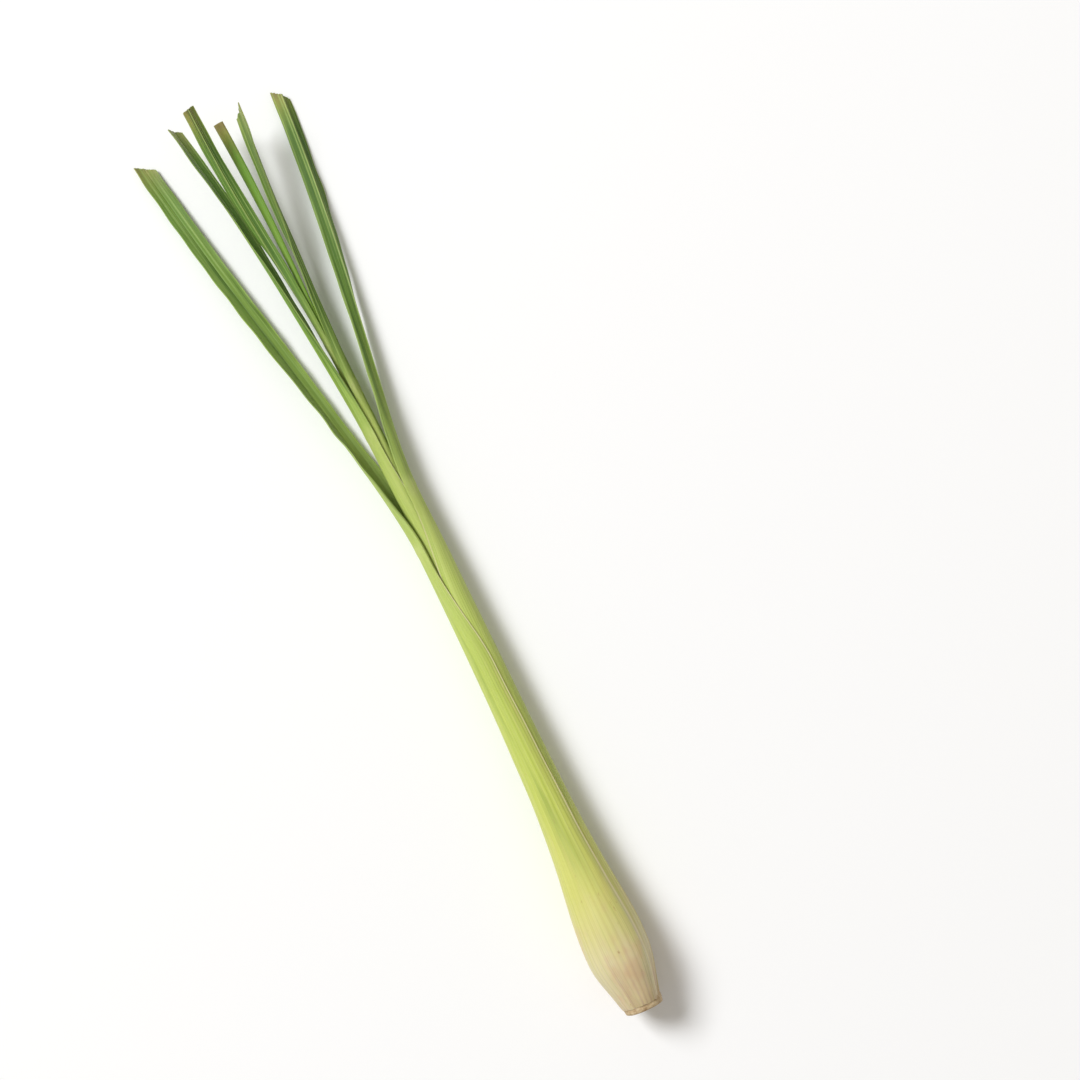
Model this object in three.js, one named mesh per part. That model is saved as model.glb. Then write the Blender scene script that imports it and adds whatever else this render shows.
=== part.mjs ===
// A cut lemongrass stalk, lying on a flat surface as it would on a board.
//
// Millimetres, +Z up. +X runs along the stalk from the cut base to the leaf tips, and +Y is to its
// left, seen from above. The origin is the middle of the small flat spot on which the bulb rests.
//
// A leaf is one piece: a sheath that wraps the younger leaves inside it, and a blade that leaves
// the stalk at the collar. Leaves stand in two ranks, so each has its midrib on the side where the
// leaf outside it is open. The sheaths grow from a short solid stem at the base.
//
// A station is a distance from the cut base, measured along the stalk. An azimuth is an angle
// round the stalk, in degrees: 0 is up, 90 is to the left, 180 is down.

import * as THREE from "three";

// The stalk's outline, from the outside of the outermost sheath.
const BELLY_STATION = 25;
const BELLY_RADIUS = 11.9;
const NECK_RADIUS = 5.4;
// How fast the bulb thins out from its belly, towards the cut base and towards the neck.
const SWELL_TO_BASE = { reach: 18, power: 3 };
const SWELL_TO_NECK = { reach: 32, power: 2 };

// How the stalk lies: it falls a little from the belly to the neck, and bends gently to the left.
const BELLY_HEIGHT = 11.35;
const AXIS_FALL = 0.0212;
const PLAN_BEND = 0.03;
const PLAN_SPAN = 200;

// Sheath walls, and the clear space between one leaf and the next.
const NECK_WALL = 0.6;
const BELLY_WALL = 1.0;
const NECK_GAP = 0.36;
const BELLY_GAP = 0.65;

// Where a sheath opens into its blade.
const MOUTH_LENGTH = 42;
const MOUTH_WRAP = 80;
const OPENING_LENGTH = 60;
const BEND_LENGTH = 25;

// Blades: a shallow V with a thicker midrib.
const BLADE_CURL_RADIUS = 30;
const BLADE_FOLD = 20;
const BLADE_MARGIN = 0.6;
const BLADE_MIDRIB = 0.95;
const KEEL = 0.35;
const TIP_NARROWING = 0.3;

// The short solid stem at the base. Its heel is the part that shows.
const HEEL_LENGTH = 1.8;
const HEEL_RADIUS = 7.1;
const CUT_RADIUS = 6.5;
const CUT_CHAMFER = 0.6;
const STEM_END = 19;
const STEM_SIDES = 28;
// Clear space round the stem inside each sheath that starts on it, and round its narrow top.
const STEM_GAP = 0.45;
const STEM_TOP_GAP = 0.9;

// Leaves are satin. The stem's cut tissue has dried matt and tan.
const LEAF_ROUGHNESS = 0.45;
const STEM_ROUGHNESS = 0.7;
const STEM_COLOUR = 0xd0b786;

// Rings along a leaf: how far apart they stand, up to the station given.
const RING_STEPS = [
  { upTo: 30, step: 3 },
  { upTo: 50, step: 5 },
  { upTo: 140, step: 15 },
  { upTo: 260, step: 8 },
  { upTo: 400, step: 13 },
];

// layer counts from the outside. root, collar and end are stations. midrib is an azimuth. plusWrap
// and minusWrap are how far the sheath reaches round from its midrib, at its root and at its
// collar, towards greater and smaller azimuths. lean is how far the blade swings out, in degrees
// to the left. bow is how far the middle of the blade curves to the left of that, in millimetres.
// twist turns the blade about its midrib. A leaf with no tipHeight droops until it touches the
// surface.
const LEAVES = [
  {
    name: "leaf_1", layer: 0, root: 2.4, collar: 170, end: 336, midrib: 107,
    plusWrap: [150, 120], minusWrap: [165, 118], lean: 9, bow: 3, twist: 60,
    halfWidth: 4.9, plusColumns: 7, minusColumns: 8, colour: 0xc3cd78,
  },
  {
    name: "leaf_2", layer: 1, root: 4.2, collar: 192, end: 338, midrib: -95,
    plusWrap: [150, 125], minusWrap: [150, 125], lean: -10, bow: -2.5, twist: 70,
    halfWidth: 4.6, plusColumns: 7, minusColumns: 7, colour: 0xb7c566,
  },
  {
    name: "leaf_3", layer: 2, root: 7.6, collar: 213, end: 340, midrib: 80, tipHeight: 12,
    plusWrap: [150, 125], minusWrap: [150, 125], lean: 5, bow: -2, twist: 45,
    halfWidth: 4.3, plusColumns: 6, minusColumns: 6, colour: 0x9fb455,
  },
  {
    name: "leaf_4", layer: 3, root: 11.5, collar: 231, end: 337, midrib: -72, tipHeight: 16,
    plusWrap: [150, 130], minusWrap: [150, 130], lean: -6.5, bow: 2, twist: -50,
    halfWidth: 3.9, plusColumns: 6, minusColumns: 6, colour: 0x87a548,
  },
  {
    name: "leaf_5", layer: 4, root: 15.5, collar: 247, end: 341, midrib: 65, tipHeight: 23,
    plusWrap: [150, 135], minusWrap: [150, 135], lean: 1.5, bow: 2.5, twist: -70,
    halfWidth: 3.3, plusColumns: 5, minusColumns: 5, colour: 0x77983f,
  },
];

// The youngest leaf is still rolled up into a solid spear, which flattens towards its tip.
const SPEAR = {
  name: "spear_leaf", layer: 5, root: 19.6, unrolls: 240, end: 334, lean: -2, bow: -1, tipHeight: 11,
  tipHalfWidth: 1.9, tipHalfDepth: 0.8, azimuth: 25, sides: 12, colour: 0x6b8f3a,
};

const lerp = THREE.MathUtils.lerp;
const radians = THREE.MathUtils.degToRad;
const smooth = (share) => THREE.MathUtils.smoothstep(share, 0, 1);

// 1 at the belly of the bulb, and towards 0 away from it.
function swell(station) {
  const { reach, power } = station < BELLY_STATION ? SWELL_TO_BASE : SWELL_TO_NECK;
  return 1 / (1 + Math.pow(Math.abs(station - BELLY_STATION) / reach, power));
}

function wallAt(station) {
  return lerp(NECK_WALL, BELLY_WALL, swell(station));
}

function radiusAt(station, layer) {
  const pitch = wallAt(station) + lerp(NECK_GAP, BELLY_GAP, swell(station));
  return lerp(NECK_RADIUS, BELLY_RADIUS, swell(station)) - layer * pitch;
}

function axisAt(station) {
  const x = station - BELLY_STATION;
  return new THREE.Vector3(x, PLAN_BEND * x * (x / PLAN_SPAN - 1), BELLY_HEIGHT - AXIS_FALL * x);
}

function outwardAt(azimuth) {
  return new THREE.Vector3(0, Math.sin(radians(azimuth)), Math.cos(radians(azimuth)));
}

// How far along its free length a leaf is, from 0 at the station where it leaves the stalk.
function freeShare(station, from, end) {
  return Math.max(0, (station - from) / (end - from));
}

// How far a free leaf has swung to the left: it leaves the stalk smoothly, then runs on in a bow.
function swingAt(station, from, { end, lean, bow }) {
  const free = Math.max(0, station - from);
  const share = freeShare(station, from, end);
  const swing = (Math.tan(radians(lean)) * free * free) / (free + BEND_LENGTH);
  return swing + bow * share * Math.sin(Math.PI * Math.min(1, share));
}

function ringStations(root, end) {
  const stations = [root];
  let at = 0;
  for (const { upTo, step } of RING_STEPS) {
    for (; at < Math.min(upTo, end); at += step) {
      if (at > root + step / 2 && at < end - step / 2) stations.push(at);
    }
  }
  return [...stations, end];
}

// The line that a leaf follows: the stalk's own, up to the collar, and then the blade's.
function spineAt(leaf, station) {
  const point = axisAt(station);
  point.y += swingAt(station, leaf.collar, leaf);
  if (leaf.tipHeight !== undefined) {
    const rise = leaf.tipHeight - axisAt(leaf.end).z;
    point.z += rise * freeShare(station, leaf.collar, leaf.end) ** 2;
  }
  return point;
}

// A leaf's midrib on its outer side, and the directions out from it and across it.
function leafFrame(leaf, station) {
  const along = spineAt(leaf, station + 1).sub(spineAt(leaf, station - 1)).normalize();
  const out = outwardAt(leaf.midrib);
  out.addScaledVector(along, -out.dot(along)).normalize();
  const midrib = spineAt(leaf, station).addScaledVector(out, radiusAt(station, leaf.layer));
  const turn = leaf.twist * smooth(freeShare(station, leaf.collar, leaf.end));
  out.applyAxisAngle(along, -radians(turn));
  return { midrib, out, across: out.clone().cross(along) };
}

// Half the leaf's width at a station, measured round its outer side from the midrib.
function halfWidthAt(leaf, station, wraps) {
  const radius = radiusAt(Math.min(station, leaf.collar), leaf.layer);
  const sheathShare = (station - leaf.root) / (leaf.collar - leaf.root);
  const wrap = lerp(wraps[0], wraps[1], Math.min(1, sheathShare));
  const mouth = smooth((station - leaf.collar + MOUTH_LENGTH) / MOUTH_LENGTH);
  const sheath = radius * radians(lerp(wrap, MOUTH_WRAP, mouth));
  const blade = leaf.halfWidth * (1 - TIP_NARROWING * freeShare(station, leaf.collar, leaf.end));
  return lerp(sheath, blade, smooth((station - leaf.collar) / OPENING_LENGTH));
}

// The point reached by going a distance round the section from the midrib. The section turns by
// the fold at once and by the curl evenly.
function sectionPoint(distance, fold, curl) {
  const side = Math.sign(distance);
  const turn = fold + curl * Math.abs(distance);
  return {
    across: (side * (Math.sin(turn) - Math.sin(fold))) / curl,
    inward: (Math.cos(fold) - Math.cos(turn)) / curl,
    turn: side * turn,
  };
}

// A point of the leaf. reach goes from -1 at one margin, by 0 at the midrib, to 1 at the other,
// and isOuter picks the side of the leaf that faces away from the stalk.
function leafPoint(leaf, station, reach, isOuter) {
  const open = smooth((station - leaf.collar) / OPENING_LENGTH);
  const curl = lerp(1 / radiusAt(station, leaf.layer), 1 / BLADE_CURL_RADIUS, open);
  const wraps = reach < 0 ? leaf.minusWrap : leaf.plusWrap;
  const distance = reach * halfWidthAt(leaf, station, wraps);
  const at = sectionPoint(distance, radians(BLADE_FOLD) * open, curl);
  const { midrib, out, across } = leafFrame(leaf, station);
  const point = midrib.addScaledVector(across, at.across).addScaledVector(out, -at.inward);
  if (isOuter) {
    return reach === 0 ? point.addScaledVector(out, KEEL * open) : point;
  }
  const wall = lerp(wallAt(station), lerp(BLADE_MIDRIB, BLADE_MARGIN, Math.abs(reach)), open);
  point.addScaledVector(out, -wall * Math.cos(at.turn));
  return point.addScaledVector(across, -wall * Math.sin(at.turn));
}

// A flat box to bend into a leaf: its length split into rings, and its width into columns. Both
// of its broad sides are split along the same diagonals, so that a thin blade can't cross itself.
function leafBlank(rings, columns) {
  const blank = new THREE.BoxGeometry(1, 1, 1, rings, columns, 1);
  const corners = blank.index.array;
  const innerSide = blank.groups[blank.groups.length - 1];
  for (let i = innerSide.start; i < innerSide.start + innerSide.count; i += 6) {
    corners[i + 2] = corners[i + 4];
    corners[i + 3] = corners[i];
  }
  return blank;
}

// Lets the free part of a leaf sink until its lowest point touches the surface.
function droop(points, shares) {
  const fall = Math.min(...points.map((point, i) => (shares[i] > 0 ? point.z / shares[i] : Infinity)));
  points.forEach((point, i) => (point.z -= fall * shares[i]));
}

// The bulb is pressed flat where it would reach below the surface.
function pressFlat(points) {
  points.forEach((point) => (point.z = Math.max(0, point.z)));
}

function cornersOf(geometry) {
  const { position } = geometry.attributes;
  const corners = [];
  for (let i = 0; i < position.count; i += 1) {
    corners.push(new THREE.Vector3().fromBufferAttribute(position, i));
  }
  return corners;
}

function plantTissue(colour, roughness) {
  return new THREE.MeshStandardMaterial({ color: colour, roughness, metalness: 0 });
}

function leafMesh(leaf) {
  const { plusColumns, minusColumns } = leaf;
  const stations = ringStations(leaf.root, leaf.end);
  const rings = stations.length - 1;
  const blank = leafBlank(rings, minusColumns + plusColumns);
  const corners = cornersOf(blank);
  const stationOf = (corner) => stations[Math.round((corner.x + 0.5) * rings)];
  const points = corners.map((corner) => {
    const column = Math.round((corner.y + 0.5) * (minusColumns + plusColumns)) - minusColumns;
    const reach = column / (column < 0 ? minusColumns : plusColumns);
    return leafPoint(leaf, stationOf(corner), reach, corner.z > 0);
  });
  if (leaf.tipHeight === undefined) {
    droop(points, corners.map((corner) => freeShare(stationOf(corner), leaf.collar, leaf.end) ** 2));
  }
  pressFlat(points);
  blank.attributes.position.copyArray(points.flatMap((point) => point.toArray()));
  blank.computeVertexNormals();
  const mesh = new THREE.Mesh(blank, plantTissue(leaf.colour, LEAF_ROUGHNESS));
  mesh.name = leaf.name;
  return mesh;
}

// A point on the outside of the spear. angle goes round it.
function spearPoint(station, angle, reach) {
  const { unrolls, end, layer } = SPEAR;
  const centre = axisAt(station);
  centre.y += swingAt(station, unrolls, SPEAR);
  centre.z += (SPEAR.tipHeight - axisAt(end).z) * freeShare(station, unrolls, end) ** 2;
  const radius = radiusAt(station, layer);
  const open = smooth(freeShare(station, unrolls, end));
  const halfWidth = lerp(radius, SPEAR.tipHalfWidth, open) * reach;
  const halfDepth = lerp(radius, SPEAR.tipHalfDepth, open) * reach;
  centre.addScaledVector(outwardAt(SPEAR.azimuth - 90), halfWidth * Math.sin(angle));
  return centre.addScaledVector(outwardAt(SPEAR.azimuth), halfDepth * Math.cos(angle));
}

function spearMesh() {
  const stations = ringStations(SPEAR.root, SPEAR.end);
  const rings = stations.length - 1;
  const blank = new THREE.CylinderGeometry(1, 1, 1, SPEAR.sides, rings);
  const points = cornersOf(blank).map((corner) => {
    const station = stations[Math.round((corner.y + 0.5) * rings)];
    return spearPoint(station, Math.atan2(corner.x, corner.z), Math.hypot(corner.x, corner.z));
  });
  blank.attributes.position.copyArray(points.flatMap((point) => point.toArray()));
  blank.computeVertexNormals();
  const mesh = new THREE.Mesh(blank, plantTissue(SPEAR.colour, LEAF_ROUGHNESS));
  mesh.name = SPEAR.name;
  return mesh;
}

// The stem narrows past each leaf's root, because the leaf's wall takes its place.
function stemMesh() {
  const profile = [
    [0, 0],
    [CUT_RADIUS, 0],
    [CUT_RADIUS + CUT_CHAMFER / 2, CUT_CHAMFER],
    [HEEL_RADIUS, HEEL_LENGTH],
  ];
  for (const { root, layer } of LEAVES) {
    const clear = radiusAt(root, layer) - wallAt(root) - STEM_GAP;
    profile.push([clear, root - STEM_GAP]);
  }
  const youngest = LEAVES[LEAVES.length - 1];
  const top = radiusAt(STEM_END, youngest.layer) - wallAt(STEM_END) - STEM_TOP_GAP;
  profile.push([top, STEM_END], [0, STEM_END]);
  const outline = profile.map(([radius, station]) => new THREE.Vector2(radius, station));
  const geometry = new THREE.LatheGeometry(outline, STEM_SIDES);
  const mesh = new THREE.Mesh(geometry, plantTissue(STEM_COLOUR, STEM_ROUGHNESS));
  const cut = axisAt(0);
  const direction = axisAt(STEM_END).sub(cut).normalize();
  mesh.quaternion.setFromUnitVectors(new THREE.Vector3(0, 1, 0), direction);
  mesh.position.copy(cut);
  mesh.name = "basal_stem";
  return mesh;
}

const stalk = new THREE.Group();
stalk.add(stemMesh(), ...LEAVES.map(leafMesh), spearMesh());

export default stalk;
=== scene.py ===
"""A cut lemongrass stalk that lies on a white surface, seen from above.

Metres, +Z up. +X runs along the stalk from the cut base to the leaf tips, and +Y is to its left.
Leaf shapes are worked out in millimetres. A station is a distance from the cut base along the
stalk. An azimuth is an angle round it in degrees: 0 is up, 90 is to the left, 180 is down. reach
goes across a leaf, from -1 at one margin, by 0 at the midrib, to 1 at the other margin.
"""

import math

import bpy
import numpy as np
from mathutils import Matrix, Vector


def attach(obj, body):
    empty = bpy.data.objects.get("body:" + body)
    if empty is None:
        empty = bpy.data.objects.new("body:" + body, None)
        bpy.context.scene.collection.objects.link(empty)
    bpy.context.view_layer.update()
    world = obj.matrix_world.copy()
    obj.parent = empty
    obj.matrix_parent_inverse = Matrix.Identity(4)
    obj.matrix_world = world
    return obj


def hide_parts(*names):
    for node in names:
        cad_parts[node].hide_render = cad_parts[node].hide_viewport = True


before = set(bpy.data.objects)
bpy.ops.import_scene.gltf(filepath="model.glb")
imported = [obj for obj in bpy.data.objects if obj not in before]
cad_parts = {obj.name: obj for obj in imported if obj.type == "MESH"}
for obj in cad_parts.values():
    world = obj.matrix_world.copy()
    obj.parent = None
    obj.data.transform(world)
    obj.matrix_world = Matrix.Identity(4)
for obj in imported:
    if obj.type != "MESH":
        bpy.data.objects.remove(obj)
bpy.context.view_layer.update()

MM = 0.001

# The stalk's outline, from the outside of the outermost sheath. A swell is how far the bulb reaches
# from its belly, and the power it fades by.
BELLY_STATION = 25
BELLY_RADIUS = 11.9
NECK_RADIUS = 5.4
SWELL_TO_BASE = (18, 3)
SWELL_TO_NECK = (32, 2)

# How the stalk lies.
BELLY_HEIGHT = 11.35
AXIS_FALL = 0.0212
PLAN_BEND = 0.03
PLAN_SPAN = 200

# Sheath walls and the space between one leaf and the next.
NECK_WALL = 0.6
BELLY_WALL = 1.0
NECK_GAP = 0.36
BELLY_GAP = 0.65

# Where a sheath opens into its blade.
MOUTH_LENGTH = 42
MOUTH_WRAP = 80
OPENING_LENGTH = 60
BEND_LENGTH = 25

# Blades: a shallow V with a keel under the midrib, and thin margins.
BLADE_CURL_RADIUS = 30
BLADE_FOLD = 20
BLADE_MIDRIB = 0.9
BLADE_MARGIN = 0.35
KEEL = 0.35
KEEL_REACH = 0.16
TIP_NARROWING = 0.3
SHEATH_MARGIN = 0.4
THICKEST_WALL = 1.2

# Relief on a leaf: ribs, swellings, a root tucked in to the stem, a ridge past the collar, and the
# margins, which lie down on the next sheath and ripple on the blade.
SHEATH_RIB = 0.07
BLADE_RIB = 0.05
SWELLING = 0.16
ROOT_TUCK = 0.3
ROOT_TUCK_LENGTH = 1.1
COLLAR_RIDGE = 0.14
COLLAR_RIDGE_LENGTH = 1.3
RIDGE_PAST_COLLAR = 3
MARGIN_RIPPLE = 0.3
MARGIN_LAP = 3.2
MARGIN_CLEARANCE = 0.14
MARGIN_LIFT = 18
MARGIN_WANDER = 0.012

# How ragged a cut tip and a torn root are, in millimetres, and what share of the leaf follows.
TIP_RAG = 0.25
TIP_SHARE = 0.06
ROOT_RAG = 0.25
ROOT_SHARE = 0.03

# The rolled spear's margin laps over itself. Lap and ribs are shares of its radius.
SPEAR_LAP = 0.2
SPEAR_LAP_FROM = 0.75
SPEAR_RIB = 0.03
SPEAR_RIBS = 12

# The short stem, as the radius and station of each ring from the middle of its cut face outwards.
STEM_END = 19
STEM_SIDES = 96
STEM_PROFILE = [(1.2, 0.3), (2.6, 0.24), (4.4, 0.14), (5.8, 0.08), (6.3, 0.0), (6.62, 0.14),
                (6.8, 0.4), (6.9, 0.8), (6.95, 1.2), (7.02, 1.6), (7.0, 2.0), (6.95, 2.6),
                (6.85, 3.4), (6.6, 4.6), (5.6, 7.6), (4.8, 11.5), (3.9, 15.5), (2.8, 18.8),
                (1.0, STEM_END)]
# The heel is the part of it that shows, with root scars on its uneven rind.
HEEL_LENGTH = 2.2
HEEL_INNER_RADIUS = 6.0
ROOT_SCARS = 14
SCAR_STATIONS = (0.4, 1.9)
SCAR_SIZES = (0.35, 0.7)
SCAR_HEIGHT = 0.16
RIND_WAVE = 0.06
RIND_RIPPLE = 0.05
RIND_SINK = 0.1
# A face belongs to the cut where its normal leans this far back along the stalk or further.
CUT_FACING = 0.75

# Points of a rolled-up grid that are this close, in millimetres, become one.
JOIN_DISTANCE = 0.001

# Edges sharper than this stay crisp, in degrees.
LEAF_CREASE = 50
STEM_CREASE = 40

# Seeds for what is drawn at random. Each further leaf has the next one.
STEM_SEED = 5
FIRST_LEAF_SEED = 11
SPEAR_SEED = 60

# A leaf's map runs across it from one margin to the other, and along it by station. In
# millimetres, one unit along is MAP_LENGTH, and one unit across is about SHEATH_WIDTH round the
# bulb and BLADE_WIDTH on the blade.
MAP_LENGTH = 400
SHEATH_WIDTH = 60
BLADE_WIDTH = 9

# The picture's frame: where the photograph shows the middle of the cut end, and how far the stalk
# leans to the left there, in degrees. The lens and its sensor are in millimetres.
PHOTO_PIXELS = 1080
MM_PER_PIXEL = 0.34
BASE_PIXEL = (645, 1008)
STALK_LEAN = 25.5
LENS = 85
SENSOR = 36

# layer counts from the outside. root, collar and end are stations. midrib is an azimuth. The wraps
# are how far the sheath reaches round at its root and at its collar, in degrees, on each side.
# lean swings the blade to the left in degrees, and bow curves its middle to the left of that in
# millimetres. twist turns it about its midrib. A leaf with no tip height droops onto the surface.
# tip_slant is how far its cut slopes back, in millimetres. rings and columns are how finely it is
# divided along and across, and ribs is how many it has on each side. greens are its colours where
# it opens, along the blade and near the tip.
LEAVES = [
    dict(name="leaf_1", layer=0, root=2.4, collar=170, end=336, midrib=107, plus=(150, 120),
         minus=(165, 118), lean=9, bow=3, twist=60, half_width=4.9, tip_height=None,
         tip_slant=4.5, rings=250, columns=170, ribs=14, slot="outer_leaf",
         greens=("#a9c05c", "#8bad42", "#628f2b")),
    dict(name="leaf_2", layer=1, root=4.2, collar=192, end=338, midrib=-95, plus=(150, 125),
         minus=(150, 125), lean=-10, bow=-2.5, twist=70, half_width=4.6, tip_height=None,
         tip_slant=-4, rings=220, columns=140, ribs=13, slot="outer_leaf",
         greens=("#94b04a", "#628d2e", "#44701a")),
    dict(name="leaf_3", layer=2, root=7.6, collar=213, end=340, midrib=80, plus=(150, 125),
         minus=(150, 125), lean=5, bow=-2, twist=45, half_width=4.3, tip_height=12,
         tip_slant=3, rings=200, columns=110, ribs=12, slot="inner_leaf",
         greens=("#7fa438", "#5f9029", "#528323")),
    dict(name="leaf_4", layer=3, root=11.5, collar=231, end=337, midrib=-72, plus=(150, 130),
         minus=(150, 130), lean=-6.5, bow=2, twist=-50, half_width=3.9, tip_height=16,
         tip_slant=-5, rings=200, columns=100, ribs=11, slot="inner_leaf",
         greens=("#568428", "#3a6716", "#2f5a0f")),
    dict(name="leaf_5", layer=4, root=15.5, collar=247, end=341, midrib=65, plus=(150, 135),
         minus=(150, 135), lean=1.5, bow=2.5, twist=-70, half_width=3.3, tip_height=23,
         tip_slant=0.8, rings=200, columns=90, ribs=9, slot="inner_leaf",
         greens=("#598826", "#4b7d1e", "#45771b")),
]

# The youngest leaf is still rolled up. azimuth is where the flat of its tip faces, and sides is how
# many faces go round it.
SPEAR = dict(name="spear_leaf", layer=5, root=19.6, unrolls=240, end=334, lean=-2, bow=-1,
             tip_height=11, tip_half_width=1.9, tip_half_depth=0.8, azimuth=25, sides=48,
             rings=170, slot="young_leaf", greens=("#82ab3c", "#6e9e31", "#65962c"))


# Small helpers.


def lerp(a, b, share):
    return a + (b - a) * share


def smooth(share):
    share = np.clip(share, 0, 1)
    return share * share * (3 - 2 * share)


def unit(v):
    return v / np.linalg.norm(v, axis=-1, keepdims=True)


def linear(hex_colour):
    """An sRGB hex colour as linear RGBA."""
    channels = [int(hex_colour[i:i + 2], 16) / 255 for i in (1, 3, 5)]
    return (*[c / 12.92 if c <= 0.04045 else ((c + 0.055) / 1.055) ** 2.4 for c in channels], 1)


def deselect_all():
    if bpy.context.object and bpy.context.object.mode != "OBJECT":
        bpy.ops.object.mode_set(mode="OBJECT")
    bpy.ops.object.select_all(action="DESELECT")


# The stalk's form.


def swell(station):
    """1 at the belly of the bulb, and towards 0 away from it."""
    station = np.asarray(station, dtype=float)
    base = np.abs(station - BELLY_STATION) / SWELL_TO_BASE[0]
    neck = np.abs(station - BELLY_STATION) / SWELL_TO_NECK[0]
    towards_base = 1 / (1 + base ** SWELL_TO_BASE[1])
    towards_neck = 1 / (1 + neck ** SWELL_TO_NECK[1])
    return np.where(station < BELLY_STATION, towards_base, towards_neck)


def wall_at(station):
    return lerp(NECK_WALL, BELLY_WALL, swell(station))


def pitch_at(station):
    """From the outside of one leaf to the outside of the next."""
    return wall_at(station) + lerp(NECK_GAP, BELLY_GAP, swell(station))


def radius_at(station, layer):
    return lerp(NECK_RADIUS, BELLY_RADIUS, swell(station)) - layer * pitch_at(station)


def axis_at(station):
    x = np.asarray(station, dtype=float) - BELLY_STATION
    return np.stack([x, PLAN_BEND * x * (x / PLAN_SPAN - 1), BELLY_HEIGHT - AXIS_FALL * x], axis=-1)


def outward_at(azimuth):
    return np.array([0, math.sin(math.radians(azimuth)), math.cos(math.radians(azimuth))])


def free_share(station, start, end):
    return np.maximum(0, (station - start) / (end - start))


def swing_at(leaf, station, start):
    """How far a free leaf has swung to the left: it leaves the stalk smoothly, then bows."""
    free = np.maximum(0, station - start)
    share = free_share(station, start, leaf["end"])
    swing = math.tan(math.radians(leaf["lean"])) * free * free / (free + BEND_LENGTH)
    return swing + leaf["bow"] * share * np.sin(math.pi * np.minimum(1, share))


def spine_at(leaf, station):
    point = axis_at(station)
    point[..., 1] += swing_at(leaf, station, leaf["collar"])
    if leaf["tip_height"] is not None:
        rise = leaf["tip_height"] - axis_at(leaf["end"])[2]
        point[..., 2] += rise * free_share(station, leaf["collar"], leaf["end"]) ** 2
    return point


def leaf_frame(leaf, station):
    """The midrib's outer side, and the directions out from it and across it."""
    along = unit(spine_at(leaf, station + 1) - spine_at(leaf, station - 1))
    out = np.broadcast_to(outward_at(leaf["midrib"]), along.shape)
    out = unit(out - along * np.sum(out * along, axis=-1, keepdims=True))
    midrib = spine_at(leaf, station) + out * radius_at(station, leaf["layer"])[..., None]
    share = smooth(free_share(station, leaf["collar"], leaf["end"]))
    turn = -np.radians(leaf["twist"] * share)[..., None]
    side = np.cross(along, out)
    out = out * np.cos(turn) + side * np.sin(turn)
    return midrib, out, np.cross(out, along)


def half_width_at(leaf, station, wraps):
    radius = radius_at(np.minimum(station, leaf["collar"]), leaf["layer"])
    sheath_share = np.minimum(1, (station - leaf["root"]) / (leaf["collar"] - leaf["root"]))
    wrap = lerp(wraps[0], wraps[1], sheath_share)
    mouth = smooth((station - leaf["collar"] + MOUTH_LENGTH) / MOUTH_LENGTH)
    sheath = radius * np.radians(lerp(wrap, MOUTH_WRAP, mouth))
    narrowing = TIP_NARROWING * free_share(station, leaf["collar"], leaf["end"])
    blade = leaf["half_width"] * (1 - narrowing)
    return lerp(sheath, blade, smooth((station - leaf["collar"]) / OPENING_LENGTH))


def waves(draw, count, shortest, longest):
    """The mean of a few sine waves of random length and phase, as a function of one coordinate."""
    lengths = draw.uniform(shortest, longest, count)
    phases = draw.uniform(0, 2 * math.pi, count)

    def value(x):
        return sum(np.sin(2 * math.pi * x / w + f) for w, f in zip(lengths, phases)) / count

    return value


def leaf_relief(leaf, station, reach, open_share, lying, draw):
    """How far a leaf's outer side stands out from its plain form. lying is 1 where a sheath's
    margin lies on the leaf inside it."""
    # Ribs along the leaf, each of its own strength.
    strengths = draw.uniform(0.35, 1.0, 2 * leaf["ribs"] + 3)
    rib_place = reach * leaf["ribs"]
    strength = np.interp(rib_place, np.arange(-leaf["ribs"] - 1, leaf["ribs"] + 2), strengths)
    rib_height = lerp(SHEATH_RIB, BLADE_RIB, open_share)
    relief = rib_height * strength * np.cos(2 * math.pi * rib_place)

    # Slow swellings and flats, so that no sheath is a perfect tube.
    along_wave = waves(draw, 3, shortest=28, longest=75)
    round_wave = waves(draw, 3, shortest=0.55, longest=1.3)
    relief = relief + SWELLING * along_wave(station) * round_wave(reach + station / 260)

    # Margins that lie down on the next leaf, and the root tucked in to the stem.
    relief = relief - (pitch_at(station) - SHEATH_MARGIN - MARGIN_CLEARANCE) * lying
    from_root = np.maximum(0, station - leaf["root"])
    relief = relief - ROOT_TUCK * np.exp(-from_root / ROOT_TUCK_LENGTH)

    # The keel, and a low ridge past the collar.
    keel = np.clip(1 - np.abs(reach) / KEEL_REACH, 0, 1)
    relief = relief + KEEL * open_share * smooth(keel)
    from_ridge = (station - leaf["collar"] - RIDGE_PAST_COLLAR) / COLLAR_RIDGE_LENGTH
    relief = relief + COLLAR_RIDGE * np.exp(-(from_ridge ** 2))

    # Ripples of the blade's margins, each margin with its own.
    ripple = waves(draw, 3, shortest=13, longest=34)
    ripple_height = MARGIN_RIPPLE * open_share * np.abs(reach) ** 3
    return relief + ripple_height * ripple(station + 37 * np.sign(reach))


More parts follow.
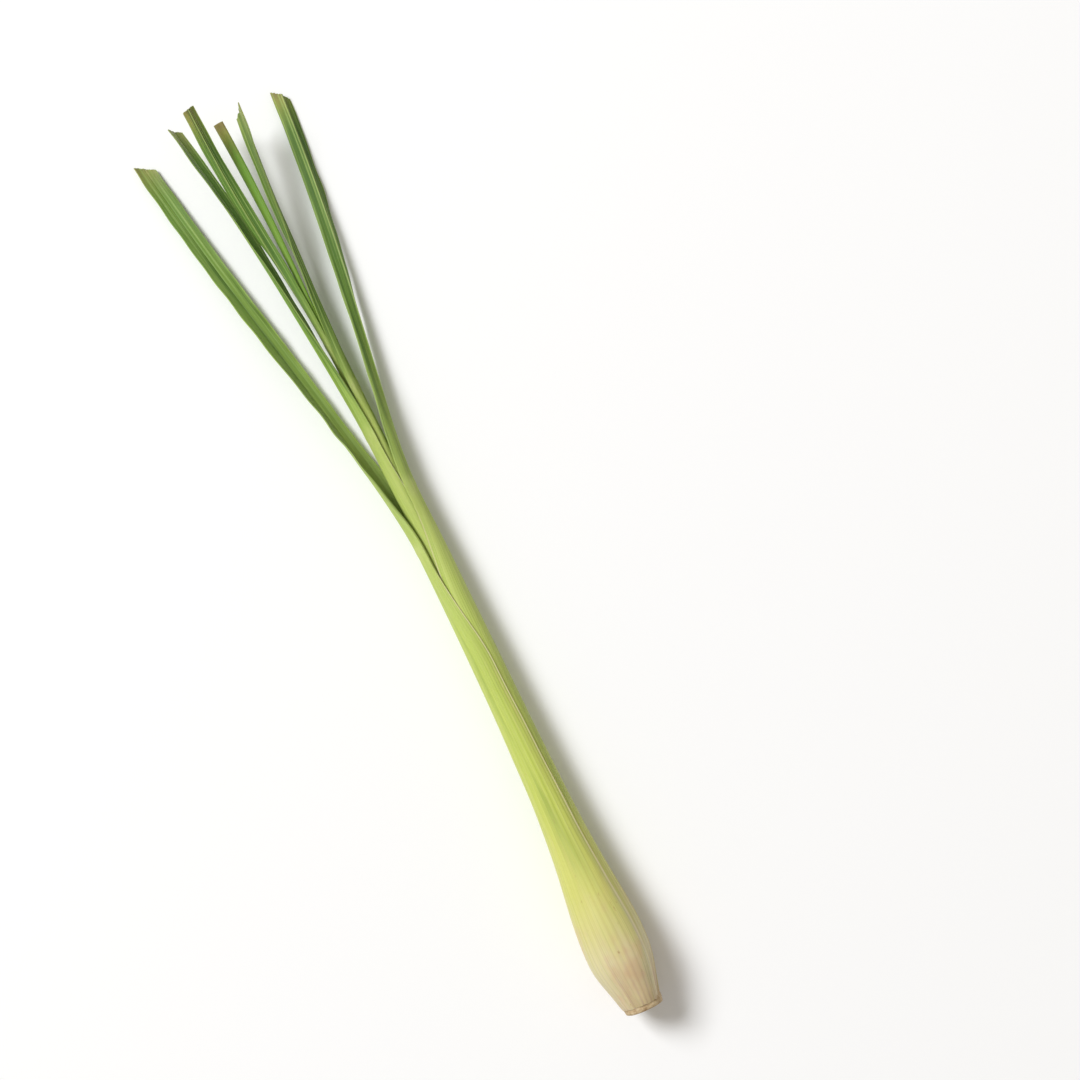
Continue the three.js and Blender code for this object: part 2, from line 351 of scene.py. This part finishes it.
def leaf_points(leaf, station, reach, draw):
    """The outer side of a leaf, its inner side, and the wall between them."""
    side = np.sign(reach)
    open_share = smooth((station - leaf["collar"]) / OPENING_LENGTH)
    curl = lerp(1 / radius_at(station, leaf["layer"]), 1 / BLADE_CURL_RADIUS, open_share)
    half = np.where(reach < 0, half_width_at(leaf, station, leaf["minus"]),
                    half_width_at(leaf, station, leaf["plus"]))

    # Each margin wanders a little along its length.
    wander = waves(draw, 4, shortest=17, longest=60)
    half = half * (1 + MARGIN_WANDER * wander(station + 90 * side) * np.abs(reach))
    distance = np.abs(reach) * half
    fold = np.radians(BLADE_FOLD) * open_share
    turn = fold + curl * distance
    sideways = side * (np.sin(turn) - np.sin(fold)) / curl
    inward = (np.cos(fold) - np.cos(turn)) / curl

    margin = smooth((distance - half + MARGIN_LAP) / MARGIN_LAP)
    in_sheath = 1 - smooth((station - leaf["collar"] + MARGIN_LIFT) / MARGIN_LIFT)
    lying = margin * in_sheath
    relief = leaf_relief(leaf, station, reach, open_share, lying, draw)

    midrib, out, beside = leaf_frame(leaf, station)
    normal = out * np.cos(turn)[..., None] + beside * (side * np.sin(turn))[..., None]
    outer = midrib + beside * sideways[..., None] - out * inward[..., None]
    outer = outer + normal * relief[..., None]
    sheath_wall = lerp(wall_at(station), SHEATH_MARGIN, lying)
    blade_wall = lerp(BLADE_MIDRIB, BLADE_MARGIN, np.abs(reach) ** 0.8)
    wall = lerp(sheath_wall, blade_wall, open_share)
    return outer, outer - normal * wall[..., None], wall


# Pieces.


def finish_piece(piece, name):
    """Puts a finished piece into the frame in place of the plain one of that name."""
    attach(piece, "root")
    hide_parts(name)


def add_blank(name, rings, columns):
    """Adds a flat grid. Gives it with how far along it and across it each of its points is."""
    deselect_all()
    bpy.ops.mesh.primitive_grid_add(x_subdivisions=rings, y_subdivisions=columns, size=1,
                                    location=(0, 0, 0))
    piece = bpy.context.object
    piece.name = name + "_fine"
    piece.data.name = piece.name
    places = np.empty(len(piece.data.vertices) * 3)
    piece.data.vertices.foreach_get("co", places)
    places = places.reshape(-1, 3) + 0.5
    return piece, places[:, 0], places[:, 1]


def shape_blank(piece, points, over, station):
    """Moves the grid's points to their places, and gives it the leaf's map."""
    piece.data.vertices.foreach_set("co", (points * MM).ravel())
    leaf_map = piece.data.uv_layers.active
    leaf_map.name = "leaf_map"
    corner = np.empty(len(piece.data.loops), dtype=int)
    piece.data.loops.foreach_get("vertex_index", corner)
    spots = np.stack([over[corner], station[corner] / MAP_LENGTH], axis=-1)
    leaf_map.data.foreach_set("uv", spots.ravel())


def close_roll():
    """Joins the two sides of a rolled-up grid where they meet, and closes its ends."""
    bpy.ops.object.mode_set(mode="EDIT")
    bpy.ops.mesh.select_all(action="SELECT")
    bpy.ops.mesh.remove_doubles(threshold=JOIN_DISTANCE * MM)
    bpy.ops.mesh.select_all(action="DESELECT")
    bpy.ops.mesh.select_non_manifold(extend=False, use_boundary=True)
    bpy.ops.mesh.edge_face_add()
    bpy.ops.mesh.select_all(action="SELECT")
    bpy.ops.mesh.normals_make_consistent(inside=False)
    bpy.ops.object.mode_set(mode="OBJECT")


def leaf_stations(leaf, along, reach, draw):
    """Stations of a leaf's points, with a slanted, slightly ragged cut tip and a torn root."""
    tip_rag = waves(draw, 5, shortest=0.13, longest=0.7)
    root_rag = waves(draw, 5, shortest=0.06, longest=0.4)
    slant = leaf["tip_slant"]
    tip_back = TIP_RAG * (1 + tip_rag(reach)) + (abs(slant) + slant * reach) / 2
    root_back = ROOT_RAG * (1 - root_rag(reach))
    station = lerp(leaf["root"], leaf["end"], along)
    station = station - root_back * (1 - smooth(along / ROOT_SHARE))
    return station - tip_back * smooth((along - 1 + TIP_SHARE) / TIP_SHARE)


def droop(leaf, station, outer, inner):
    """Lets the free part of a leaf sink until its lowest point touches the surface."""
    share = free_share(station, leaf["collar"], leaf["end"]) ** 2
    # Next to the collar the share is too small to divide by, and the leaf is far from the surface.
    free = share > 0.02
    fall = np.min(np.minimum(outer[free, 2], inner[free, 2]) / share[free])
    outer[:, 2] -= fall * share


def add_wall(piece, wall):
    """Gives a leaf's outer side its wall, which grows inwards and is thinner at the margins."""
    thick = piece.vertex_groups.new(name="wall")
    share_of_wall = np.round(wall / THICKEST_WALL, 3)
    for value in np.unique(share_of_wall):
        thick.add([int(i) for i in np.nonzero(share_of_wall == value)[0]], float(value), "REPLACE")
    solidify = piece.modifiers.new("wall", "SOLIDIFY")
    solidify.thickness = THICKEST_WALL * MM
    solidify.offset = -1
    solidify.vertex_group = "wall"
    solidify.material_offset = 1
    bpy.ops.object.modifier_apply(modifier="wall")
    # Nothing goes below the surface that the stalk lies on.
    for vertex in piece.data.vertices:
        vertex.co.z = max(0, vertex.co.z)


def make_leaf(leaf, seed):
    """A grid bent into the leaf's outer side, then given its wall."""
    draw = np.random.default_rng(seed)
    piece, along, over = add_blank(leaf["name"], leaf["rings"], leaf["columns"])
    reach = over * 2 - 1
    station = leaf_stations(leaf, along, reach, draw)
    outer, inner, wall = leaf_points(leaf, station, reach, draw)
    if leaf["tip_height"] is None:
        droop(leaf, station, outer, inner)
    outer[:, 2] = np.maximum(0, outer[:, 2])
    shape_blank(piece, outer, over, station)
    piece.data.materials.append(leaf_finish(leaf, inner_face=False, seed=seed))
    piece.data.materials.append(leaf_finish(leaf, inner_face=True, seed=seed))
    add_wall(piece, wall)
    bpy.ops.object.shade_smooth_by_angle(angle=math.radians(LEAF_CREASE))
    finish_piece(piece, leaf["name"])


def make_spear(spear, seed):
    """A grid rolled up round the stalk's axis and closed, flatter towards its tip."""
    piece, along, over = add_blank(spear["name"], spear["rings"], spear["sides"])
    station = lerp(spear["root"], spear["end"], along)
    angle = (over * 2 - 1) * math.pi
    centre = axis_at(station)
    centre[:, 1] += swing_at(spear, station, spear["unrolls"])
    free = free_share(station, spear["unrolls"], spear["end"])
    centre[:, 2] += (spear["tip_height"] - axis_at(spear["end"])[2]) * free ** 2
    opening = smooth(free)
    radius = radius_at(station, spear["layer"])
    half_width = lerp(radius, spear["tip_half_width"], opening)
    half_depth = lerp(radius, spear["tip_half_depth"], opening)

    # The rolled margin laps over itself, which leaves a step along one side.
    lap_share = (np.abs(angle / math.pi) - SPEAR_LAP_FROM) / (1 - SPEAR_LAP_FROM)
    lap = 1 - SPEAR_LAP * opening * smooth(lap_share)
    form = lap * (1 + SPEAR_RIB * np.cos(angle * SPEAR_RIBS))
    beside, out = outward_at(spear["azimuth"] - 90), outward_at(spear["azimuth"])
    points = centre + beside * (half_width * np.sin(angle) * form)[:, None]
    points = points + out * (half_depth * np.cos(angle) * form)[:, None]
    shape_blank(piece, points, over, station)
    close_roll()
    piece.data.materials.append(leaf_finish(spear, inner_face=False, seed=seed))
    bpy.ops.object.shade_smooth_by_angle(angle=math.radians(LEAF_CREASE))
    finish_piece(piece, spear["name"])


# Finishes.


def node(tree, kind, inputs=None, stops=(), **settings):
    """Adds a node. inputs gives each input a value or the socket that feeds it, and stops gives a
    colour ramp its places and sRGB hex colours."""
    made = tree.nodes.new(kind)
    for key, value in settings.items():
        setattr(made, key, value)
    for key, value in (inputs or {}).items():
        if isinstance(value, bpy.types.NodeSocket):
            tree.links.new(value, made.inputs[key])
        else:
            made.inputs[key].default_value = value
    for number, (place, colour) in enumerate(stops):
        elements = made.color_ramp.elements
        element = elements[number] if number < len(elements) else elements.new(1)
        element.position = place
        element.color = linear(colour)
    return made


def new_material(name):
    material = bpy.data.materials.new(name)
    material.use_nodes = True
    tree = material.node_tree
    return material, tree, tree.nodes["Principled BSDF"]


# A sheath's tones by station: tan at the cut, cream low on the bulb, then straw and yellow-green.
SHEATH_TONES = [(0, "#c4ac8c"), (4, "#cdb998"), (10, "#d0c09c"), (18, "#d5caa2"), (30, "#cdc586"),
                (46, "#c8c86d"), (80, "#bcc75d"), (135, "#b5c760")]
# The neck's green, and how far before the collar it is reached.
NECK_GREEN = (10, "#b2c566")
# How far past its collar a leaf reaches its first green and its second, and how far before its end
# the last.
OPENING_GREEN = 28
BLADE_GREEN = 62
LAST_GREEN = 15
# A cut tip dries to olive, straw and tan, at these distances from its end.
TIP_TONES = [(8, "#7b8d3a"), (4, "#9a9b4e"), (1, "#8e7d4b")]


def leaf_tones(leaf):
    """Places on the map, and what colour the leaf has there."""
    collar = leaf.get("collar", leaf.get("unrolls"))
    opening, blade, last = leaf["greens"]
    stops = SHEATH_TONES + [(collar - NECK_GREEN[0], NECK_GREEN[1])]
    stops += [(collar + OPENING_GREEN, opening), (collar + BLADE_GREEN, blade)]
    stops += [(leaf["end"] - LAST_GREEN, last)]
    stops += [(leaf["end"] - back, tone) for back, tone in TIP_TONES]
    return [(station / MAP_LENGTH, tone) for station, tone in stops]


# Noises drawn out along a leaf: in millimetres, how wide and how long a spot is and how wide the
# leaf is there, and then the noise's detail. Real veins stand about 0.3 mm apart, too fine for the
# picture, so the fine noise and the blade's light lines are drawn about three times as wide. Those
# light lines and the blade's deeper greens are partly painted highlight and painted shade.
LEAF_NOISES = {
    "broad": (6, 64, SHEATH_WIDTH, 3),
    "fine": (1, 140, SHEATH_WIDTH, 4),
    "hair": (0.36, 240, SHEATH_WIDTH, 2),
    "patches": (12, 20, SHEATH_WIDTH, 3),
    "specks": (1.2, 4.8, SHEATH_WIDTH, 3),
    "stains": (9.6, 88, SHEATH_WIDTH, 3),
    "dry": (2.1, 56, SHEATH_WIDTH, 3),
    "sunned": (18, 48, SHEATH_WIDTH, 3),
    "uneven": (8.4, 12, SHEATH_WIDTH, 3),
    "veins_and_highlight": (0.9, 120, BLADE_WIDTH, 3),
    "greens_and_shade": (3, 80, BLADE_WIDTH, 3),
}

# How far a leaf's tones stray from their places, in millimetres: along most of it, and near its
# cut tip, which is between these stations.
TONE_STRAY = 36
TIP_STRAY = 1.6
CALM_STATIONS = (316, 332)


def leaf_coats(collar, inner_face):
    """The colours laid over a leaf's tones, from the first to the last. After each colour come the
    things that set its strength: what is read, between which values, and the strength at each."""
    on_blade = ("station", collar - 4, collar + 24, 0, 1)
    return [
        # Fine pale veins, with darker ones between them.
        ("#e4e49c", ("fine", 0.36, 0.66, 0, 1), ("station", 180, 240, 0.24, 0.13)),
        ("#7a8a3a", ("hair", 0.5, 0.72, 0, 0.34), ("station", 160, 240, 1, 0)),
        ("#35591a", ("hair", 0.5, 0.72, 0, 0.34), ("station", 160, 240, 0, 1)),
        # Long olive stains, strongest along the green part of the sheath.
        ("#76903a", ("stains", 0.5, 0.72, 0, 0.42), ("station", 24, 80, 0, 1),
         ("station", 200, 280, 1, 0.35)),
        # Narrow tan streaks where the sheath has begun to dry.
        ("#d8c88e", ("dry", 0.58, 0.72, 0, 0.5), ("station", 40, 80, 0, 1),
         ("station", 168, 208, 1, 0)),
        # Light veins along the blade, made lighter still as a painted highlight, and long deeper
        # greens that are partly painted shade.
        ("#bcd67f", ("veins_and_highlight", 0.48, 0.66, 0, 0.6), on_blade),
        ("#274f11", ("greens_and_shade", 0.46, 0.66, 0, 0.62), on_blade),
        # Yellower stretches of blade, where more sun fell.
        ("#7f9a30", ("sunned", 0.5, 0.7, 0, 0.35), ("station", 200, 248, 0, 1)),
        # Older sheath low on the bulb: tan and faintly pink patches, and small dry specks.
        ("#cfa784", ("patches", 0.46, 0.68, 0, 0.55), ("station", 12, 60, 1, 0)),
        ("#a57f50", ("specks", 0.66, 0.74, 0, 1), ("station", 20, 160, 0.6, 0.15)),
        # The blade's pale midrib, whose strength on the outer face is partly painted highlight, and
        # the thin pale line along its margins.
        ("#bccc80", ("reach", 0.02, 0.12 if inner_face else 0.08, 0.75 if inner_face else 0.5, 0),
         on_blade),
        ("#a9bd6a", ("reach", 0.93, 0.99, 0, 0.4), on_blade),
        # The sheath's papery margins, and the pale joint between sheath and blade.
        ("#e3d8b0", ("reach", 0.955, 0.99, 0, 0.75), ("station", collar - 16, collar, 1, 0)),
        ("#d3d795", ("uneven", 0.35, 0.65, 0.05, 0.34), ("station", collar - 5, collar + 2, 0, 1),
         ("station", collar + 2, collar + 9, 1, 0)),
        # Bloom: a thin pale wax that dulls and cools the blade in long patches.
        ("#86aa62", ("broad", 0.35, 0.7, 0.02, 0.3 if inner_face else 0.14), on_blade),
    ]


def leaf_finish(leaf, inner_face, seed):
    """Fresh grass leaf with its thin wax coat: satin, veined along its length, cream where light
    never reached it and green where it did, with a dull bloom on the blade. The blade's light lines
    and pale midrib are partly painted highlight, and its deeper greens partly painted shade."""
    face = "inner face" if inner_face else "outer face"
    material, tree, surface = new_material(f"fresh grass {leaf['name']} {face}")
    place = node(tree, "ShaderNodeUVMap", uv_map="leaf_map").outputs["UV"]
    split = node(tree, "ShaderNodeSeparateXYZ", {"Vector": place})
    signed = node(tree, "ShaderNodeMath", {0: split.outputs["X"], 1: 2.0, 2: -1.0},
                  operation="MULTIPLY_ADD").outputs[0]
    read = {
        "reach": node(tree, "ShaderNodeMath", {0: signed}, operation="ABSOLUTE").outputs[0],
        "station": node(tree, "ShaderNodeMath", {0: split.outputs["Y"], 1: MAP_LENGTH},
                        operation="MULTIPLY").outputs[0],
    }
    for number, (name, (width, length, leaf_width, detail)) in enumerate(LEAF_NOISES.items()):
        stretched = node(tree, "ShaderNodeMapping", {
            "Vector": place, "Location": (40 * number + 3.1 * seed, 1.7 * seed, 0),
            "Scale": (leaf_width / width, MAP_LENGTH / length, 1)})
        read[name] = node(tree, "ShaderNodeTexNoise", {
            "Vector": stretched.outputs["Vector"], "Scale": 1.0, "Detail": detail,
            "Roughness": 0.6}).outputs["Fac"]

    # The leaf's tones, with a ragged change from one to the next. Near the cut it is exact.
    stray = node(tree, "ShaderNodeMapRange", {
        "Value": read["station"], "From Min": CALM_STATIONS[0], "From Max": CALM_STATIONS[1],
        "To Min": TONE_STRAY / MAP_LENGTH, "To Max": TIP_STRAY / MAP_LENGTH}).outputs["Result"]
    centred = node(tree, "ShaderNodeMath", {0: read["broad"], 1: 0.5},
                   operation="SUBTRACT").outputs[0]
    strayed = node(tree, "ShaderNodeMath", {0: centred, 1: stray, 2: split.outputs["Y"]},
                   operation="MULTIPLY_ADD").outputs[0]
    tone = node(tree, "ShaderNodeValToRGB", {"Fac": strayed}, stops=leaf_tones(leaf))
    tone = tone.outputs["Color"]

    # The spear has no collar, so what stands at one falls past its tip.
    for colour, *masks in leaf_coats(leaf.get("collar", MAP_LENGTH), inner_face):
        share = 1.0
        for name, low, high, at_low, at_high in masks:
            strength = node(tree, "ShaderNodeMapRange", {
                "Value": read[name], "From Min": low, "From Max": high, "To Min": at_low,
                "To Max": at_high}, interpolation_type="SMOOTHSTEP").outputs["Result"]
            share = node(tree, "ShaderNodeMath", {0: strength, 1: share},
                         operation="MULTIPLY").outputs[0]
        tone = node(tree, "ShaderNodeMix", {0: share, 6: tone, 7: linear(colour)},
                    data_type="RGBA").outputs[2]
    tree.links.new(tone, surface.inputs["Base Color"])

    rough = node(tree, "ShaderNodeMapRange", {
        "Value": read["fine"], "From Min": 0.3, "From Max": 0.7, "To Min": 0.34, "To Max": 0.46})
    tree.links.new(rough.outputs["Result"], surface.inputs["Roughness"])
    surface.inputs["IOR"].default_value = 1.42
    surface.inputs["Specular IOR Level"].default_value = 0.4
    surface.inputs["Subsurface Weight"].default_value = 0.2
    surface.inputs["Subsurface Radius"].default_value = (1.0, 1.1, 0.35)
    surface.inputs["Subsurface Scale"].default_value = 1.2 * MM

    height = node(tree, "ShaderNodeMath", {0: read["fine"], 1: 1.4, 2: read["hair"]},
                  operation="MULTIPLY_ADD").outputs[0]
    bump = node(tree, "ShaderNodeBump", {"Height": height, "Strength": 0.35,
                                         "Distance": 0.125 * MM})
    tree.links.new(bump.outputs["Normal"], surface.inputs["Normal"])
    return material


# Pattern sizes on the stem, in millimetres. Its strands really end about 0.4 mm apart, too fine
# for the picture, so they are drawn twice as far apart.
RIND_BLOTCH = 2.2
RIND_RING = (0.45, 2.5, 2.5)
CUT_WAVER = 3.5
CUT_WAVER_DEPTH = 1.6
CUT_RINGS = (0.8, 7.2)
CUT_STRAND = 0.75


def rind_finish():
    """Skin of the short stem, dried after cutting: matt tan, streaked along its length, with
    darker blotches and fine rings where old leaves sat."""
    material, tree, surface = new_material("dried rind of the short stem")
    place = node(tree, "ShaderNodeTexCoord").outputs["Object"]
    blotch = node(tree, "ShaderNodeTexNoise", {
        "Vector": place, "Scale": 1 / (RIND_BLOTCH * MM), "Detail": 5.0,
        "Roughness": 0.7}).outputs["Fac"]
    tone = node(tree, "ShaderNodeValToRGB", {"Fac": blotch},
                stops=[(0.32, "#957a55"), (0.44, "#b69c75"), (0.56, "#cab48d"), (0.7, "#d8c8a4")])
    tree.links.new(tone.outputs["Color"], surface.inputs["Base Color"])
    surface.inputs["Roughness"].default_value = 0.7
    surface.inputs["Subsurface Weight"].default_value = 0.1
    surface.inputs["Subsurface Radius"].default_value = (1.0, 0.8, 0.5)
    surface.inputs["Subsurface Scale"].default_value = 1.0 * MM
    rings = node(tree, "ShaderNodeMapping", {
        "Vector": place, "Scale": [1 / (size * MM) for size in RIND_RING]})
    grain = node(tree, "ShaderNodeTexNoise", {"Vector": rings.outputs["Vector"], "Scale": 1.0,
                                              "Detail": 3.0}).outputs["Fac"]
    bump = node(tree, "ShaderNodeBump", {"Height": grain, "Strength": 0.7, "Distance": 0.35 * MM})
    tree.links.new(bump.outputs["Normal"], surface.inputs["Normal"])
    return material


def cut_finish():
    """Fresh cut across the stem: pale and moist in the middle, with the ends of its strands as
    darker dots, faint rings, and browned towards the rim where it has dried."""
    material, tree, surface = new_material("cut face of the short stem")
    place = node(tree, "ShaderNodeTexCoord").outputs["Object"]
    centre = node(tree, "ShaderNodeVectorMath", {0: place, 1: tuple(axis_at(0) * MM)},
                  operation="DISTANCE").outputs["Value"]
    waver = node(tree, "ShaderNodeTexNoise", {
        "Vector": place, "Scale": 1 / (CUT_WAVER * MM), "Detail": 3.0}).outputs["Fac"]
    ragged = node(tree, "ShaderNodeMath", {0: waver, 1: CUT_WAVER_DEPTH * MM, 2: centre},
                  operation="MULTIPLY_ADD").outputs[0]
    ring = node(tree, "ShaderNodeMapRange", {
        "Value": ragged, "From Min": CUT_RINGS[0] * MM,
        "From Max": CUT_RINGS[1] * MM}).outputs["Result"]
    rings = node(tree, "ShaderNodeValToRGB", {"Fac": ring},
                 stops=[(0.0, "#e9e1bf"), (0.3, "#e0d5ac"), (0.42, "#d3c597"), (0.5, "#ded2a8"),
                        (0.68, "#cdbb8b"), (0.78, "#d6c79b"), (0.9, "#b79b6a"), (1.0, "#94774b")])
    dots = node(tree, "ShaderNodeTexVoronoi", {"Vector": place, "Scale": 1 / (CUT_STRAND * MM)})
    strand = node(tree, "ShaderNodeMapRange", {
        "Value": dots.outputs["Distance"], "From Min": 0.12, "From Max": 0.34, "To Min": 0.5,
        "To Max": 0.0}, interpolation_type="SMOOTHSTEP").outputs["Result"]
    tone = node(tree, "ShaderNodeMix", {0: strand, 6: rings.outputs["Color"],
                                        7: linear("#a08756")}, data_type="RGBA").outputs[2]
    tree.links.new(tone, surface.inputs["Base Color"])
    surface.inputs["Roughness"].default_value = 0.58
    surface.inputs["Subsurface Weight"].default_value = 0.15
    surface.inputs["Subsurface Radius"].default_value = (1.0, 0.9, 0.5)
    surface.inputs["Subsurface Scale"].default_value = 1.0 * MM
    bump = node(tree, "ShaderNodeBump", {"Height": dots.outputs["Distance"], "Strength": 0.5,
                                         "Distance": 0.2 * MM})
    tree.links.new(bump.outputs["Normal"], surface.inputs["Normal"])
    return material


def make_basal_stem():
    """A grid rolled up into the rings of the stem's profile, and closed."""
    piece, along, over = add_blank("basal_stem", len(STEM_PROFILE) - 1, STEM_SIDES)
    ring = np.round(along * (len(STEM_PROFILE) - 1)).astype(int)
    radius, station = np.array(STEM_PROFILE)[ring].T
    angle = over * 2 * math.pi

    # Root scars: small knobs round the heel, and an uneven rind.
    draw = np.random.default_rng(STEM_SEED)
    push = RIND_WAVE * np.sin(5 * angle + 1) + RIND_RIPPLE * np.sin(9 * angle + station)
    for _ in range(ROOT_SCARS):
        scar_angle = draw.uniform(0, 2 * math.pi)
        scar_station = draw.uniform(*SCAR_STATIONS)
        size = draw.uniform(*SCAR_SIZES)
        gap = (angle - scar_angle + math.pi) % (2 * math.pi) - math.pi
        away = np.hypot(gap * radius, station - scar_station) / size
        push = push + SCAR_HEIGHT * np.exp(-away * away)
    on_heel = (radius > HEEL_INNER_RADIUS) & (station < HEEL_LENGTH)
    radius = radius + (push - RIND_SINK) * on_heel

    points = np.stack([radius * np.cos(angle), radius * np.sin(angle), station], axis=-1)
    piece.data.vertices.foreach_set("co", points.ravel())
    direction = Vector(axis_at(STEM_END) - axis_at(0)).normalized()
    turn = Vector((0, 0, 1)).rotation_difference(direction).to_matrix().to_4x4()
    cut = Vector(axis_at(0) * MM)
    piece.data.transform(Matrix.Translation(cut) @ turn @ Matrix.Scale(MM, 4))
    close_roll()
    piece.data.materials.append(rind_finish())
    piece.data.materials.append(cut_finish())
    for face in piece.data.polygons:
        if face.normal.dot(direction) < -CUT_FACING:
            face.material_index = 1
    bpy.ops.object.shade_smooth_by_angle(angle=math.radians(STEM_CREASE))
    finish_piece(piece, "basal_stem")


make_basal_stem()
for number, leaf in enumerate(LEAVES):
    make_leaf(leaf, seed=FIRST_LEAF_SEED + number)
make_spear(SPEAR, seed=SPEAR_SEED)


# Surface, light and camera.

lean = math.radians(STALK_LEAN)
screen_up = Vector((math.cos(lean), -math.sin(lean), 0))
screen_right = Vector((-math.sin(lean), -math.cos(lean), 0))
base = Vector(axis_at(0) * MM)
middle = base - screen_right * ((BASE_PIXEL[0] - PHOTO_PIXELS / 2) * MM_PER_PIXEL * MM)
middle = middle + screen_up * ((BASE_PIXEL[1] - PHOTO_PIXELS / 2) * MM_PER_PIXEL * MM)
width = PHOTO_PIXELS * MM_PER_PIXEL * MM
distance = width / 2 / (SENSOR / 2 / LENS)

camera_data = bpy.data.cameras.new("camera")
camera_data.lens = LENS
camera_data.sensor_width = SENSOR
camera = bpy.data.objects.new("camera", camera_data)
bpy.context.scene.collection.objects.link(camera)
turned = Matrix((screen_right, screen_up, Vector((0, 0, 1)))).transposed()
camera.matrix_world = Matrix.Translation(middle + Vector((0, 0, distance))) @ turned.to_4x4()
bpy.context.scene.camera = camera

deselect_all()
bpy.ops.mesh.primitive_plane_add(size=8, location=(0, 0, 0))
floor = bpy.context.object
floor.name = "floor"
floor_material, floor_tree, floor_surface = new_material("matt white paper")
floor_surface.inputs["Base Color"].default_value = linear("#f8f9fa")
floor_surface.inputs["Roughness"].default_value = 0.9
floor_surface.inputs["Specular IOR Level"].default_value = 0.1
floor.data.materials.append(floor_material)


def soft_light(name, towards, away, size, power, colour):
    """A square soft light that faces the middle of the picture, in metres and watts. towards is
    the way from there to the light."""
    data = bpy.data.lights.new(name, "AREA")
    data.shape = "SQUARE"
    data.size = size
    data.energy = power
    data.color = linear(colour)[:3]
    lamp = bpy.data.objects.new(name, data)
    bpy.context.scene.collection.objects.link(lamp)
    back = towards.normalized()
    lamp.location = Vector((middle.x, middle.y, 0)) + back * away
    lamp.rotation_mode = "QUATERNION"
    lamp.rotation_quaternion = back.to_track_quat("Z", "Y")


up_axis = Vector((0, 0, 1))
soft_light("key", towards=screen_up * 0.5 - screen_right * 0.9 + up_axis * 1.05, away=4.5,
           size=1.8, power=200, colour="#fcfdff")
soft_light("fill", towards=screen_right * 0.8 - screen_up * 0.4 + up_axis * 1.2, away=1.8,
           size=1.4, power=1.5, colour="#fffaf2")

world = bpy.context.scene.world or bpy.data.worlds.new("studio")
bpy.context.scene.world = world
world.use_nodes = True
world.node_tree.nodes["Background"].inputs["Color"].default_value = linear("#fff8ee")
world.node_tree.nodes["Background"].inputs["Strength"].default_value = 0.37
bpy.context.scene.view_settings.view_transform = "Standard"
